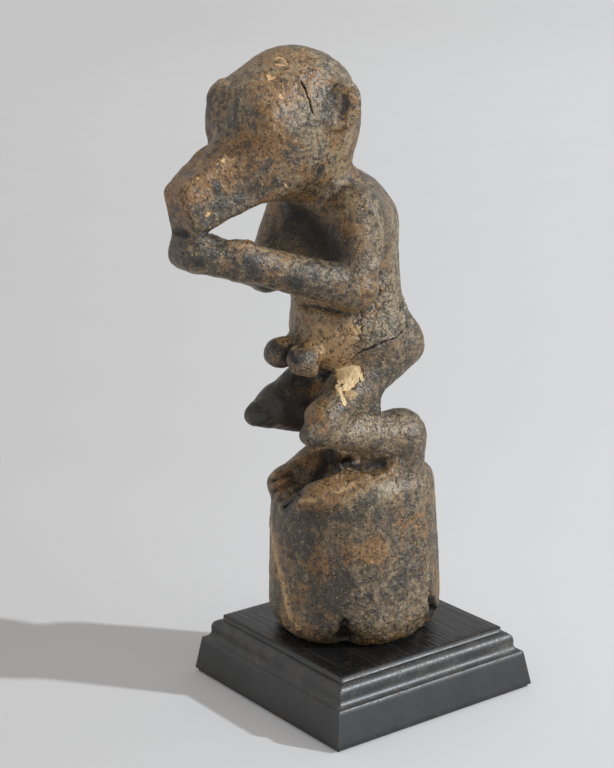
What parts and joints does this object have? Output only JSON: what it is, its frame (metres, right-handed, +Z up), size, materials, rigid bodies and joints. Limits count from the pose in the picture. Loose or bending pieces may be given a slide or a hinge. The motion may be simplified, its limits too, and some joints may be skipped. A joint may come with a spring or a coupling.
{
  "type": "carved animal figure",
  "caption": "Squatting monkey with a long muzzle resting on its hands, carved in one piece with its round stump, on a moulded square black plinth.",
  "frame": {"origin": "middle of the underside of the felt, on the table", "axes": "+Z up; the figure faces -Y and its left side is towards +X; +Y is behind it"},
  "size_m": [0.13, 0.1743, 0.341],
  "materials": {
    "carved_wood": "matte crust",
    "plinth_wood": "satin black paint",
    "pin_steel": "drawn",
    "felt": "matte"
  },
  "bodies": {
    "stand": {"plinth": "plinth_wood", "main_pin": "pin_steel", "locating_pin": "pin_steel", "base_felt": "felt"},
    "figure": {"carved_figure": "carved_wood"}
  },
  "joints": [
    {"name": "lift_off", "type": "slide", "parent": "stand", "child": "figure", "axis": [0, 0, 1], "range_m": [0, 0.04]}
  ]
}
